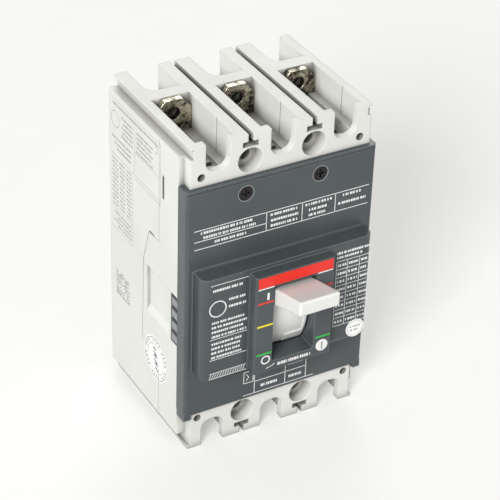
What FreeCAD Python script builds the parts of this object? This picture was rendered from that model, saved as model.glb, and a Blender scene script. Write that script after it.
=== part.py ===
"""Three pole moulded-case circuit breaker, built as separate pieces.

Units are millimetres and +Z is up.  The breaker stands on its load end and its front faces -Y.
Every piece is drawn with y = 0 on the face of the terminal block and y growing towards the back;
save() moves it to the shared frame.
"""
import FreeCAD
import Part
import math
import os

os.makedirs("parts", exist_ok=True)

# ---------------------------------------------------------------- driving sizes
POLE_PITCH = 25.4
WIDTH = 3 * POLE_PITCH
HEIGHT = 130.0
DEPTH = 59.0

HANDLE_REACH = 30.0
SKIN = 2.3
BLOCK_INSET = 3.5
FLANGE_INSET = 2.3
BLOCK_HALF = WIDTH / 2 - BLOCK_INSET
FLANGE_HALF = WIDTH / 2 - FLANGE_INSET
SKIN_LOW = 4.8
FLANGE = 1.1
PART_LINE = 19.0
SIDE_STEP = 4.4

CHAMBER_HALF = 10.4
CHAMBER_LOW = 16.0
CHAMBER_HIGH = HEIGHT - CHAMBER_LOW
CHAMBER_BACK = 56.0
FLOOR = 13.4
ARCH_DEPTH = 11.2
REAR_NOTCH_DEPTH = 12.0
CHANNEL_HALF = 3.7
CHANNEL_DROP = 1.0
WALL_SEAM_Y = 15.0
WALL_SEAM = 0.35

POCKET_HALF = 7.4
ARCH_HALF = 4.7
ARCH_RADIUS = 3.8
PAD_FACE = 33.0
PLATE = 2.7
PAD_HOLE = 2.6
PAD_HOLE_END = 5.7

MOUNT_END = 10.4
MOUNT_BORE = 2.4
MOUNT_SINK = 4.8
MOUNT_SINK_DEPTH = 5.0

SLOT_STEM = 1.0
SLOT_BAR = 3.1

COVER_FRONT = 1.8
COVER_LOW = 17.2
COVER_TOP_INSET = 16.3
COVER_HIGH = HEIGHT - COVER_TOP_INSET
COVER_WALL = 2.0
COVER_SCREW_X = 15.0
COVER_SCREW_Z = COVER_HIGH - 6
NOSE_INSET = 3.2
NOSE_HALF = WIDTH / 2 - NOSE_INSET
NOSE_FRONT = 8.7
NOSE_LOW = 35.0
NOSE_HIGH = 80.5
PANEL_HALF = 16.2
PANEL_FRONT = 13.3
PANEL_LOW = 36.8
PANEL_HIGH = 79.0
WELL_HALF = 8.75
WELL_LOW = 41.0
WELL_HIGH = 73.5

PIVOT_Y = 22.4
PIVOT_Z = 57.3
SHROUD_R = 31.0
SHROUD_HALF = 8.3
SHROUD_THICK = 1.2

BAR_Y = 45.0
BAR_Z = 58.0
BAR_R = 5.5
HUB_R = 8.5
ARM_BACK = 50.3
TIP_MEET = 51.75

TRIP_Y = 11.0
TRIP_Z = 35.0
TRIP_R = 2.5
TRIP_HALF = WIDTH / 2 - SKIN + 1.2
BAR_HALF = WIDTH / 2 - SKIN - 0.2
WALL_WINDOW_HALF = POLE_PITCH / 2 - CHAMBER_HALF + 0.1
CASE_SCREW_INSET = 6.4
CASE_SCREW_ENDS = (12.6, 13.4)
CASE_SCREW_END = 31.5

BUTTON_X = 12.4
BUTTON_Z = 41.2
BUTTON_R = 2.5
RUNNING_FIT = 0.07

SHIFT_Y = -(DEPTH - HANDLE_REACH) / 2
POLES = (-POLE_PITCH, 0.0, POLE_PITCH)


# ---------------------------------------------------------------- helpers
def box(x0, x1, y0, y1, z0, z1):
    """Return a block between two corners."""
    corner = FreeCAD.Vector(min(x0, x1), min(y0, y1), min(z0, z1))
    return Part.makeBox(abs(x1 - x0), abs(y1 - y0), abs(z1 - z0), corner)


def rod(radius, start, end):
    """Return a round bar from start to end."""
    a = FreeCAD.Vector(*start)
    b = FreeCAD.Vector(*end)
    return Part.makeCylinder(radius, (b - a).Length, a, b - a)


def plate_yz(points, x0, x1):
    """Return a plate cut to a (y, z) outline, from x0 to x1."""
    corners = [FreeCAD.Vector(x0, y, z) for y, z in points]
    face = Part.Face(Part.makePolygon(corners + [corners[0]]))
    return face.extrude(FreeCAD.Vector(x1 - x0, 0, 0))


def plate_xz(points, y0, y1):
    """Return a plate cut to an (x, z) outline, from y0 to y1."""
    corners = [FreeCAD.Vector(x, y0, z) for x, z in points]
    face = Part.Face(Part.makePolygon(corners + [corners[0]]))
    return face.extrude(FreeCAD.Vector(0, y1 - y0, 0))


def join(shapes):
    """Fuse a list of shapes into one clean solid."""
    result = shapes[0]
    if len(shapes) > 1:
        result = shapes[0].multiFuse(shapes[1:])
    return result.removeSplitter()


def cut(body, tools):
    """Cut a list of tools out of a body."""
    return body.cut(Part.makeCompound(tools)) if tools else body


def flip(shape):
    """Mirror a shape from the line end to the load end."""
    return shape.mirror(FreeCAD.Vector(0, 0, HEIGHT / 2), FreeCAD.Vector(0, 0, 1))


def round_edges(shape, radius, test):
    """Round the edges that pass the test, and keep the shape as it is if that fails."""
    edges = [e for e in shape.Edges if test(e)]
    if not edges:
        return shape
    try:
        rounded = shape.makeFillet(radius, edges)
    except Part.OCCError:
        return shape
    return rounded if rounded.isValid() else shape


def upright(edge, x=None, y=None):
    """Tell whether an edge runs along Z at the given x and y."""
    a = edge.Vertexes[0].Point
    b = edge.Vertexes[-1].Point
    if abs(a.x - b.x) > 1e-3 or abs(a.y - b.y) > 1e-3 or abs(a.z - b.z) < 1.0:
        return False
    at_x = x is None or abs(abs(a.x) - x) < 1e-3
    return at_x and (y is None or abs(a.y - y) < 1e-3)


def save(name, shapes):
    """Move a piece to the shared frame and write its STEP file."""
    solids = []
    for shape in shapes if isinstance(shapes, list) else [shapes]:
        solids += shape.Solids
    body = solids[0] if len(solids) == 1 else Part.makeCompound(solids)
    body = body.copy()
    body.translate(FreeCAD.Vector(0, SHIFT_Y, 0))
    body.exportStep("parts/" + name + ".step")
    print(name, len(solids), round(sum(s.Volume for s in solids), 1))


# ---------------------------------------------------------------- shared case cuts
def rounded_notch(xc, half, radius, y0, y1, top):
    """Return a notch open at the line end, with rounded inner corners."""
    low = HEIGHT - top
    upper = box(xc - half, xc + half, y0, y1, low + radius, HEIGHT + 1)
    lower = box(xc - half + radius, xc + half - radius, y0, y1, low, low + radius + 0.1)
    left = rod(radius, (xc - half + radius, y0, low + radius), (xc - half + radius, y1, low + radius))
    right = rod(radius, (xc + half - radius, y0, low + radius), (xc + half - radius, y1, low + radius))
    return join([upper, lower, left, right])


def pocket(xc):
    """Return the space above one terminal pad, clear of the case screw that passes its corner."""
    floor = HEIGHT - FLOOR
    space = join([
        box(xc - POCKET_HALF, xc + POCKET_HALF, 3, PAD_FACE + PLATE + 0.05, floor, HEIGHT + 1),
        box(xc - CHANNEL_HALF, xc + CHANNEL_HALF, 3, PAD_FACE - 1.5, floor - CHANNEL_DROP, floor + 1),
        box(xc - POCKET_HALF - WALL_SEAM, xc + POCKET_HALF + WALL_SEAM, WALL_SEAM_Y - WALL_SEAM / 2,
            WALL_SEAM_Y + WALL_SEAM / 2, floor, HEIGHT + 1)])
    if xc == 0:
        return space
    side = math.copysign(1, xc)
    inner = WIDTH / 2 - CASE_SCREW_INSET - 2.0
    tower = box(side * inner, side * WIDTH / 2, 0, PAD_FACE - 0.3, floor - 2, floor + 2.7)
    return space.cut(tower)


def end_cuts():
    """Return everything that is cut at the line end of both case mouldings."""
    tools = []
    for side in (-1, 1):
        x = side * POLE_PITCH / 2
        stem = box(x - SLOT_STEM, x + SLOT_STEM, -1, DEPTH + 1, HEIGHT - 4, HEIGHT + 1)
        bar = box(x - SLOT_BAR, x + SLOT_BAR, -1, DEPTH + 1, HEIGHT - 5.1, HEIGHT - 3)
        tools.append(join([stem, bar]))
        z = HEIGHT - MOUNT_END
        tools.append(rod(MOUNT_BORE, (x, -1, z), (x, DEPTH + 1, z)))
        tools.append(rod(MOUNT_SINK, (x, -1, z), (x, MOUNT_SINK_DEPTH, z)))
    for xc in POLES:
        tools.append(rounded_notch(xc, ARCH_HALF, ARCH_RADIUS, -1, 3.5, ARCH_DEPTH))
        tools.append(pocket(xc))
        rear = box(xc - 5.8, xc + 7.2, 41.5, DEPTH + 1, HEIGHT - REAR_NOTCH_DEPTH, HEIGHT + 1)
        rear = round_edges(rear, 4.5, lambda e: upright(e) and abs(e.Vertexes[0].Point.x - xc + 5.8) < 0.01
                           and abs(e.Vertexes[0].Point.y - 41.5) < 0.01)
        tools.append(rear)
        z = HEIGHT - PAD_HOLE_END
        tools.append(rod(PAD_HOLE + 0.3, (xc, PAD_FACE, z), (xc, 40, z)))
        pad_front, pad_back = PAD_FACE - 0.2, PAD_FACE + PLATE + 0.2
        z0, z1 = CHAMBER_HIGH - 1, HEIGHT - FLOOR + 1
        tools.append(box(xc - 4.7, xc + 4.7, pad_front, pad_back, z0, z1))
        for k in range(4):
            y = 4.2 + 4.4 * k
            tools.append(box(xc - 3.2, xc + 3.2, y, y + 2.4, CHAMBER_HIGH - 1, HEIGHT - FLOOR + 1))
    return tools


def screw_places():
    """Return the x and z of the four corner case screws."""
    x = WIDTH / 2 - CASE_SCREW_INSET
    top, bottom = CASE_SCREW_ENDS
    return [(side * x, z) for side in (-1, 1) for z in (HEIGHT - top, bottom)]


# ---------------------------------------------------------------- case mouldings
def chambers(y0, y1):
    """Return the three pole chambers between two depths."""
    return [box(xc - CHAMBER_HALF, xc + CHAMBER_HALF, y0, y1, CHAMBER_LOW, CHAMBER_HIGH) for xc in POLES]


def side_ear(x0, x1):
    """Return the rear ear of the middle moulding, which covers part of the base's side."""
    outline = [(PART_LINE - 0.5, 82.4), (27.0, 82.0), (31.5, 68.0), (32.5, 33.0), (PART_LINE - 0.5, 26.0)]
    return plate_yz(outline, x0, x1)


def sticker_disc(depth):
    """Return the round quality sticker, or the shallow recess it lies in."""
    return rod(9.5, (-WIDTH / 2 - depth + 0.12, 21.5, 28.6), (-WIDTH / 2 + 0.12, 21.5, 28.6))


def make_base():
    half = WIDTH / 2
    body = join([
        box(-half, half, PART_LINE, DEPTH, SKIN_LOW, HEIGHT - SKIN_LOW),
        box(-BLOCK_HALF, BLOCK_HALF, PART_LINE, DEPTH, 0, HEIGHT),
        box(-FLANGE_HALF, FLANGE_HALF, PART_LINE, DEPTH, 0, FLANGE),
        box(-FLANGE_HALF, FLANGE_HALF, PART_LINE, DEPTH, HEIGHT - FLANGE, HEIGHT)])
    body = round_edges(body, 1.2, lambda e: upright(e, y=DEPTH))
    tools = chambers(PART_LINE - 1, CHAMBER_BACK)
    tools += end_cuts()
    tools += [flip(t) for t in end_cuts()]
    for side in (-1, 1):
        tools.append(side_ear(side * (half - SKIN - 0.1), side * (half + 1)))
        tools.append(box(side * (half - 0.8), side * (half + 1), 22.8, 26.6, 82.1, 82.8))
        wall = side * POLE_PITCH / 2
        tools.append(box(wall - WALL_WINDOW_HALF, wall + WALL_WINDOW_HALF, PART_LINE - 1, BAR_Y,
                         BAR_Z - BAR_R - RUNNING_FIT, BAR_Z + BAR_R + RUNNING_FIT))
    reach = half - SKIN + 0.1
    tools.append(rod(BAR_R + RUNNING_FIT, (-reach, BAR_Y, BAR_Z), (reach, BAR_Y, BAR_Z)))
    for x, z in screw_places():
        tools.append(rod(1.2, (x, 0, z), (x, CASE_SCREW_END + 1, z)))
    tools.append(sticker_disc(0.5))
    body = cut(body, tools)
    shelves = []
    for xc in POLES:
        reach = CHAMBER_HALF + 0.2
        shelves.append(box(xc - reach, xc + reach, 54.0, CHAMBER_BACK + 0.5, 62, 66))
    return join([body] + shelves)


def make_middle():
    half = WIDTH / 2
    body = join([
        box(-half, half, SIDE_STEP, PART_LINE, SKIN_LOW, HEIGHT - SKIN_LOW),
        box(-BLOCK_HALF, BLOCK_HALF, 0, PART_LINE, 0, HEIGHT),
        box(-FLANGE_HALF, FLANGE_HALF, 0, PART_LINE, 0, FLANGE),
        box(-FLANGE_HALF, FLANGE_HALF, 0, PART_LINE, HEIGHT - FLANGE, HEIGHT),
        box(-half + 2.1, half - 2.1, 0, PART_LINE, COVER_HIGH - 5, HEIGHT - SKIN_LOW)])
    tools = chambers(SIDE_STEP + 2.1, PART_LINE + 1)
    tools += end_cuts()
    tools += [flip(t) for t in end_cuts()]
    tools.append(box(-half - 1, half + 1, -1, SIDE_STEP, COVER_LOW - 0.1, COVER_HIGH + 0.1))
    tools.append(box(-CHAMBER_HALF, CHAMBER_HALF, 0, 9, 27, 88))
    for x, z in screw_places():
        tools.append(rod(1.2, (x, -1, z), (x, PART_LINE + 1, z)))
        tools.append(rod(1.5, (x, -1, z), (x, 5, z)))
    for side in (-1, 1):
        wall = side * POLE_PITCH / 2
        tools.append(box(wall - WALL_WINDOW_HALF, wall + WALL_WINDOW_HALF, 7.6, PART_LINE + 1,
                         TRIP_Z - 9.5, TRIP_Z + 9.6))
        seat = [(TRIP_HALF + 0.1) * side, (BAR_HALF - 0.3) * side]
        tools.append(rod(1.5 + RUNNING_FIT, (seat[1], TRIP_Y, TRIP_Z), (seat[0], TRIP_Y, TRIP_Z)))
        tools.append(box(side * (half - 1.1), side * (half + 1), SIDE_STEP - 1, 9.4, 45.4, 66.6))
        dish = [(half, 46.6), (half - 1.2, 49.6), (half - 1.2, 66.8), (half + 1, 66.8), (half + 1, 46.6)]
        tools.append(plate_xz([(side * x, z) for x, z in dish], 10.4, 28.6))
        tools.append(box(side * (half - SKIN - 0.1), side * (half + 1), 15.2, 16.6, 102.0, 111.4))
    tools.append(rod(1.5 + RUNNING_FIT, (BUTTON_X, 0, BUTTON_Z), (BUTTON_X, 9, BUTTON_Z)))
    for side in (-1, 1):
        x = side * COVER_SCREW_X
        tools.append(rod(1.3, (x, 0, COVER_SCREW_Z), (x, 13, COVER_SCREW_Z)))
    bosses = []
    for side in (-1, 1):
        x = side * COVER_SCREW_X
        boss = rod(3.0, (x, SIDE_STEP, COVER_SCREW_Z), (x, 14.5, COVER_SCREW_Z))
        bosses.append(boss.cut(rod(1.3, (x, 0, COVER_SCREW_Z), (x, 13, COVER_SCREW_Z))))
        ear = side_ear(side * (half - SKIN), side * half)
        ear = ear.common(box(-half, half, PART_LINE - 0.6, 60, 0, HEIGHT))
        ear = ear.cut(plate_xz([(side * x, z) for x, z in dish], 10.4, 28.6))
        ear.translate(FreeCAD.Vector(0, -0.12, 0))
        bosses.append(ear)
    body = join([body] + bosses)
    return cut(body, tools + [sticker_disc(0.5)])


# ---------------------------------------------------------------- dark front cover
def make_front_cover():
    half = WIDTH / 2
    skirt = box(-half, half, -COVER_FRONT, SIDE_STEP, COVER_LOW, COVER_HIGH)
    skirt = round_edges(skirt, 1.3, lambda e: upright(e, y=-COVER_FRONT))
    legs = []
    for side in (-1, 1):
        leg = box(side * (half - 3.0), side * half, -COVER_FRONT + 0.6, SIDE_STEP,
                  COVER_LOW - 2.6, COVER_LOW + 1)
        legs.append(leg)
    nose = box(-NOSE_HALF, NOSE_HALF, -NOSE_FRONT, 0, NOSE_LOW, NOSE_HIGH)
    nose = round_edges(nose, 3.0, lambda e: upright(e, y=-NOSE_FRONT))
    nose = round_edges(nose, 3.2, lambda e: abs(e.CenterOfMass.z - NOSE_LOW) < 0.01 and e.CenterOfMass.y > -8
                       and abs(abs(e.CenterOfMass.x) - NOSE_HALF) < 0.01)
    panel = box(-PANEL_HALF, PANEL_HALF, -PANEL_FRONT, -5, PANEL_LOW, PANEL_HIGH)
    panel = round_edges(panel, 1.0, lambda e: upright(e, y=-PANEL_FRONT))
    solid = join([skirt, nose, panel] + legs)
    w = COVER_WALL
    hollow = join([
        box(-half + w, half - w, -COVER_FRONT + w, SIDE_STEP + 1, COVER_LOW + w, COVER_HIGH - w),
        box(-NOSE_HALF + w, NOSE_HALF - w, -NOSE_FRONT + w, 1, NOSE_LOW + w, NOSE_HIGH - w),
        box(-PANEL_HALF + w, PANEL_HALF - w, -PANEL_FRONT + w, 0, PANEL_LOW + w, PANEL_HIGH - w)])
    solid = solid.cut(hollow)
    well = box(-WELL_HALF - 1, WELL_HALF + 1, -PANEL_FRONT + 0.5, 2, WELL_LOW - 1.6, WELL_HIGH + 1.6)
    well = well.cut(rod(SHROUD_R + 0.6, (-20, PIVOT_Y, PIVOT_Z), (20, PIVOT_Y, PIVOT_Z)))
    solid = join([solid, well])
    tools = [box(-WELL_HALF, WELL_HALF, -PANEL_FRONT - 1, 3, WELL_LOW, WELL_HIGH),
             rod(BUTTON_R + RUNNING_FIT, (BUTTON_X, -PANEL_FRONT - 1, BUTTON_Z), (BUTTON_X, 0, BUTTON_Z))]
    for side in (-1, 1):
        x = side * COVER_SCREW_X
        z = COVER_SCREW_Z
        tools.append(rod(1.5, (x, -3, z), (x, 2, z)))
        tools.append(rod(2.9, (x, -3, z), (x, -COVER_FRONT + 0.9, z)))
    groove = (COVER_HIGH - 1.4, COVER_HIGH - 1.0)
    tools.append(box(-half - 1, half + 1, -COVER_FRONT - 1, -COVER_FRONT + 0.4, groove[0], groove[1]))
    tools.append(rod(SHROUD_R + 0.6, (-9.3, PIVOT_Y, PIVOT_Z), (9.3, PIVOT_Y, PIVOT_Z)))
    solid = cut(solid, tools)
    extras = []
    for side in (-1, 1):
        for k in range(4):
            z = 45.9 + 5.2 * k
            extras.append(box(side * (half - 1.0), side * half, SIDE_STEP - 1, 9.2, z, z + 4.2))
        x = side * COVER_SCREW_X
        z = COVER_SCREW_Z
        post = rod(3.0, (x, -0.5, z), (x, SIDE_STEP - 0.05, z))
        extras.append(post.cut(rod(1.5, (x, -3, z), (x, 6, z))))
    return join([solid] + extras)


# ---------------------------------------------------------------- handle and mechanism
def sector(r0, r1, a0, a1, half):
    """Return a curved strip around the handle pivot; angles are degrees above the front axis."""
    steps = 24
    points = []
    for k in range(steps + 1):
        a = math.radians(a0 + (a1 - a0) * k / steps)
        points.append((PIVOT_Y - r1 * math.cos(a), PIVOT_Z + r1 * math.sin(a)))
    for k in range(steps, -1, -1):
        a = math.radians(a0 + (a1 - a0) * k / steps)
        points.append((PIVOT_Y - r0 * math.cos(a), PIVOT_Z + r0 * math.sin(a)))
    return plate_yz(points, -half, half)


def make_handle():
    tip = -HANDLE_REACH
    side = [(tip, 76.7), (tip, 70.9), (-PANEL_FRONT, 65.1), (-6.0, 62.6), (-6.0, 70.2), (-PANEL_FRONT, 72.1)]
    head = plate_yz(side, -8.2, 8.2)
    taper = plate_xz([(-8.2, 60), (-8.2, 80), (8.2, 80), (8.2, 60)], tip - 1, 0)
    inside = rod(SHROUD_R - SHROUD_THICK, (-20, PIVOT_Y, PIVOT_Z), (20, PIVOT_Y, PIVOT_Z))
    head = head.common(taper).cut(inside)
    head = round_edges(head, 0.8, lambda e: e.CenterOfMass.y < -PANEL_FRONT - 0.5)
    shroud = sector(SHROUD_R - SHROUD_THICK, SHROUD_R, -31, 66, SHROUD_HALF)
    rib = sector(SHROUD_R - 0.2, SHROUD_R + 0.45, -30, -22, 4.0)
    rib.translate(FreeCAD.Vector(4.0, 0, 0))
    side_rib = sector(SHROUD_R - 0.2, SHROUD_R + 0.45, -30, 6, 0.5)
    side_rib.translate(FreeCAD.Vector(SHROUD_HALF - 0.5, 0, 0))
    return join([head, shroud, rib, side_rib])


def make_yoke():
    """Return the steel yoke that carries the handle, with a leg outside each mechanism plate."""
    angle = math.radians(17.4)

    def place(r, t):
        y = PIVOT_Y - r * math.cos(angle) + t * math.sin(angle)
        z = PIVOT_Z + r * math.sin(angle) + t * math.cos(angle)
        return (y, z)
    shapes = []
    for side in (-1, 1):
        outline = [place(0, -3.4), place(28.2, -6.0), place(28.2, 6.0), place(0, 3.4)]
        leg = plate_yz(outline, side * 8.75, side * 9.95)
        eye = rod(3.4, (side * 8.75, PIVOT_Y, PIVOT_Z), (side * 9.95, PIVOT_Y, PIVOT_Z))
        leg = join([leg, eye])
        shapes.append(leg.cut(rod(1.6 + RUNNING_FIT, (-20, PIVOT_Y, PIVOT_Z), (20, PIVOT_Y, PIVOT_Z))))
    bridge = [place(27.0, -6.0), place(28.2, -6.0), place(28.2, 6.0), place(27.0, 6.0)]
    tongue = [place(28.1, -2.5), place(29.65, -2.5), place(29.65, 2.5), place(28.1, 2.5)]
    shapes.append(plate_yz(bridge, -9.95, 9.95))
    shapes.append(plate_yz(tongue, -4, 4))
    return join(shapes)


def make_side_plate(side):
    """Return one mechanism plate with its rear feet and the stud that the yoke turns on."""
    x0, x1 = side * 7.0, side * 8.4
    shapes = [
        plate_yz([(12, 42), (12, 70), (16, 82), (20, 84), (33, 84), (33, 40.5), (16, 40.5)], x0, x1),
        box(x0, x1, 32.9, CHAMBER_BACK - 0.05, 73, 83),
        box(x0, x1, 32.9, CHAMBER_BACK - 0.05, 40.5, 47.5),
        rod(1.6, (side * 8.3, PIVOT_Y, PIVOT_Z), (side * 9.9, PIVOT_Y, PIVOT_Z))]
    plate = join(shapes)
    return plate.cut(rod(1.5, (-20, 26, 80), (20, 26, 80)))


def link(a, b, ra, rb, hole_a, hole_b, x0, x1):
    """Return a flat link between two (y, z) points, with an eye of its own radius at each end."""
    length = math.hypot(b[0] - a[0], b[1] - a[1])
    ny = -(b[1] - a[1]) / length
    nz = (b[0] - a[0]) / length
    bar = plate_yz([(a[0] + ny * ra, a[1] + nz * ra), (b[0] + ny * rb, b[1] + nz * rb),
                    (b[0] - ny * rb, b[1] - nz * rb), (a[0] - ny * ra, a[1] - nz * ra)], x0, x1)
    eye_a = rod(ra, (x0, a[0], a[1]), (x1, a[0], a[1]))
    eye_b = rod(rb, (x0, b[0], b[1]), (x1, b[0], b[1]))
    shape = join([bar, eye_a, eye_b])
    tools = []
    for hole, (y, z) in ((hole_a, a), (hole_b, b)):
        if hole:
            tools.append(rod(hole, (-20, y, z), (20, y, z)))
    return cut(shape, tools)


SEAR_Y = 18.0
CRADLE_PIN = (26.0, 80.0)
LINK_TOP = (13.0, 61.0)
KNEE = (27.73, 63.85)
LINK_LOW = (43.5, 66.9)


def make_cradle():
    shapes = []
    for side in (-1, 1):
        x0, x1 = side * 2.6, side * 3.6
        shapes.append(link(CRADLE_PIN, LINK_TOP, 2.8, 2.4, 0, 0, x0, x1))
        shapes.append(link(LINK_TOP, (19.8, 37.5), 2.4, 1.8, 0, 0, x0, x1))
        y, z = LINK_TOP
        shapes.append(rod(1.3, (side * 3.5, y, z), (side * 5.1, y, z)))
    shapes.append(box(-3.6, 3.6, SEAR_Y, 21.0, TRIP_Z, 38.6))
    body = join(shapes)
    return body.cut(rod(1.5, (-20, CRADLE_PIN[0], CRADLE_PIN[1]), (20, CRADLE_PIN[0], CRADLE_PIN[1])))


def make_crossbar():
    shaft = rod(BAR_R, (-BAR_HALF, BAR_Y, BAR_Z), (BAR_HALF, BAR_Y, BAR_Z))
    hubs = []
    for xc in POLES:
        reach = 6.0 if xc else 5.0
        hubs.append(rod(HUB_R, (xc - reach, BAR_Y, BAR_Z), (xc + reach, BAR_Y, BAR_Z)))
    ears = []
    for side in (-1, 1):
        ears.append(link((BAR_Y, BAR_Z), LINK_LOW, 3.0, 2.4, 0, 0, side * 3.4, side * 5.0))
    body = join([shaft] + hubs + ears)
    tools = []
    for xc in POLES:
        slot = box(xc - 2.05, xc + 2.05, BAR_Y - 12, BAR_Y + 12, BAR_Z - 3.5, BAR_Z + 14)
        tools.append(slot)
        tools.append(rod(1.2, (xc - 6.5, BAR_Y, BAR_Z), (xc + 6.5, BAR_Y, BAR_Z)))
    tools.append(rod(1.2, (-6, LINK_LOW[0], LINK_LOW[1]), (6, LINK_LOW[0], LINK_LOW[1])))
    return cut(body, tools)


def make_arm(xc):
    foot = [(BAR_Y - 3.4, BAR_Z - 3.4), (BAR_Y + 3.4, BAR_Z - 3.4), (BAR_Y + 4.2, BAR_Z + 12)]
    tip = [(ARM_BACK, 90), (ARM_BACK, 98), (48.0, 98.5), (45.8, 96), (45.4, 88)]
    side = foot + tip + [(BAR_Y - 3.4, BAR_Z + 12)]
    arm = plate_yz(side, xc - 2.0, xc + 2.0)
    tools = [rod(1.2, (xc - 3, BAR_Y, BAR_Z), (xc + 3, BAR_Y, BAR_Z))]
    if xc == 0:
        tools.append(rod(1.2, (-3, LINK_LOW[0], LINK_LOW[1]), (3, LINK_LOW[0], LINK_LOW[1])))
    return cut(arm, tools)


def helix_spring(radius, wire, start, end, turns):
    """Return a coil spring of round wire between two points."""
    a = FreeCAD.Vector(*start)
    b = FreeCAD.Vector(*end)
    length = (b - a).Length
    coil = Part.makeHelix(length / turns, length, radius)
    profile = Part.Wire(Part.makeCircle(wire, FreeCAD.Vector(radius, 0, 0), FreeCAD.Vector(0, 1, 0)))
    shape = Part.Wire(coil).makePipeShell([profile], True, True)
    shape.Placement = FreeCAD.Placement(a, FreeCAD.Rotation(FreeCAD.Vector(0, 0, 1), b - a))
    return shape.Solids[0]


# ---------------------------------------------------------------- current path of one pole
def terminal_pad(xc):
    """Return the plate with chamfered corners that the cable lug is screwed to."""
    z0, z1 = HEIGHT - FLOOR + 0.1, HEIGHT - 0.4
    w = POCKET_HALF - 0.2
    shoulder = z1 - 4.2
    flat = w - 3.7
    outline = [(xc - w, z0), (xc + w, z0), (xc + w, shoulder),
               (xc + flat, z1), (xc - flat, z1), (xc - w, shoulder)]
    return plate_xz(outline, PAD_FACE, PAD_FACE + PLATE)


def make_line_terminal(xc):
    t = PLATE
    top = CHAMBER_HIGH - 1.5
    back = CHAMBER_BACK
    shapes = [
        terminal_pad(xc),
        box(xc - 4.5, xc + 4.5, PAD_FACE, PAD_FACE + t, top - t, HEIGHT - FLOOR + 0.2),
        box(xc - 4.5, xc + 4.5, PAD_FACE, back, top - t, top),
        box(xc - 4.5, xc + 4.5, back - t, back, 84, top)]
    z = HEIGHT - PAD_HOLE_END
    return join(shapes).cut(rod(PAD_HOLE, (xc, 0, z), (xc, PAD_FACE + t + 1, z)))


def make_load_terminal(xc):
    t = PLATE
    low = CHAMBER_LOW
    shapes = [
        flip(terminal_pad(xc)),
        box(xc - 4.5, xc + 4.5, PAD_FACE, PAD_FACE + t, FLOOR - 0.2, low + t),
        box(xc - 4.5, xc + 4.5, 17.6, CHAMBER_BACK, low, low + t),
        box(xc - 4.5, xc + 4.5, CHAMBER_BACK - t, CHAMBER_BACK, low, 46)]
    return join(shapes).cut(rod(PAD_HOLE, (xc, 0, PAD_HOLE_END), (xc, PAD_FACE + t + 1, PAD_HOLE_END)))


def make_chute(xc):
    """Return fibre cheeks and the stack of notched steel plates between them."""
    cheeks = [box(xc + s * 8.6, xc + s * 9.9, 24.5, 51.0, 88, 108.5) for s in (-1, 1)]
    plates = []
    for k in range(9):
        y = 25.6 + 2.9 * k
        plate = box(xc - 8.6, xc + 8.6, y, y + 1.0, 89, 108)
        plates.append(plate.cut(box(xc - 3.8, xc + 3.8, y - 1, y + 2, 88, 101.5)))
    return cheeks, plates


def make_magnet(xc):
    body = join([
        box(xc - 6, xc + 6, 17.6, 19.1, 18.7, 30),
        box(xc - 6, xc - 4.8, 17.6, 23.6, 18.75, 30),
        box(xc + 4.8, xc + 6, 17.6, 23.6, 18.75, 30)])
    return body.cut(rod(1.7, (xc, 10, 28.2), (xc, 20, 28.2)))


def make_armature(xc):
    plate = box(xc - 6, xc + 6, 25.1, 26.3, 19.2, 33)
    finger = box(xc + 5.9, xc + 7.4, 25.1, 26.3, 27.5, 33)
    arm = box(xc + 6.4, xc + 7.4, 16.9, 26.3, 29.5, 31.5)
    pin = rod(0.5, (xc - 7.0, 25.7, 19.4), (xc + 7.0, 25.7, 19.4))
    return join([plate, finger, arm, pin])


def make_braid(xc):
    """Return the flat copper braid between the turning hub and the load terminal."""
    y0 = BAR_Y + HUB_R + 0.08
    y = y0 + 0.75
    places = [xc + 1.3 * k for k in (-2, -1, 0, 1, 2)]
    strands = [rod(0.75, (x, y, 46), (x, y, 60)) for x in places]
    return join(strands + [box(xc - 3.3, xc + 3.3, y0 + 0.1, y0 + 1.4, 46, 48)])


def make_trip_bar():
    shapes = [rod(TRIP_R, (-BAR_HALF, TRIP_Y, TRIP_Z), (BAR_HALF, TRIP_Y, TRIP_Z)),
              rod(1.5, (-TRIP_HALF, TRIP_Y, TRIP_Z), (TRIP_HALF, TRIP_Y, TRIP_Z))]
    for xc in POLES:
        shapes.append(box(xc - 2.5, xc + 7.8, TRIP_Y, 16.0, 33.8, 35.6))
        shapes.append(box(xc - 2.5, xc + 7.8, 14.6, 16.0, 26.5, 35.0))
    shapes.append(box(-2.2, 2.2, TRIP_Y, SEAR_Y - 0.4, TRIP_Z - 0.4, TRIP_Z + 1.2))
    shapes.append(box(BUTTON_X - 1.5, BUTTON_X + 1.5, TRIP_Y - 1, TRIP_Y + 1, TRIP_Z, 43.6))
    return join(shapes)


def make_button():
    head = rod(BUTTON_R, (BUTTON_X, -PANEL_FRONT - 0.3, BUTTON_Z), (BUTTON_X, -6, BUTTON_Z))
    head = round_edges(head, 0.3, lambda e: e.CenterOfMass.y < -PANEL_FRONT)
    stem = rod(1.5, (BUTTON_X, -6.5, BUTTON_Z), (BUTTON_X, 8.3, BUTTON_Z))
    ball = Part.makeSphere(1.5, FreeCAD.Vector(BUTTON_X, 8.3, BUTTON_Z))
    slot = box(BUTTON_X - 0.35, BUTTON_X + 0.35, -PANEL_FRONT - 1, -PANEL_FRONT + 0.5,
               BUTTON_Z - 1.7, BUTTON_Z + 1.7)
    return join([head, stem, ball]).cut(slot)


def cover_screw(x, z):
    """Return a black cross-head screw that holds the dark cover."""
    y0 = -COVER_FRONT + 0.9
    head = rod(2.75, (x, -COVER_FRONT + 0.1, z), (x, y0, z))
    shank = rod(1.3, (x, y0, z), (x, 12.5, z))
    arms = [box(x - 1.7, x + 1.7, -3, -COVER_FRONT + 0.8, z - 0.4, z + 0.4),
            box(x - 0.4, x + 0.4, -3, -COVER_FRONT + 0.8, z - 1.7, z + 1.7)]
    return cut(join([head, shank]), arms)


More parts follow.
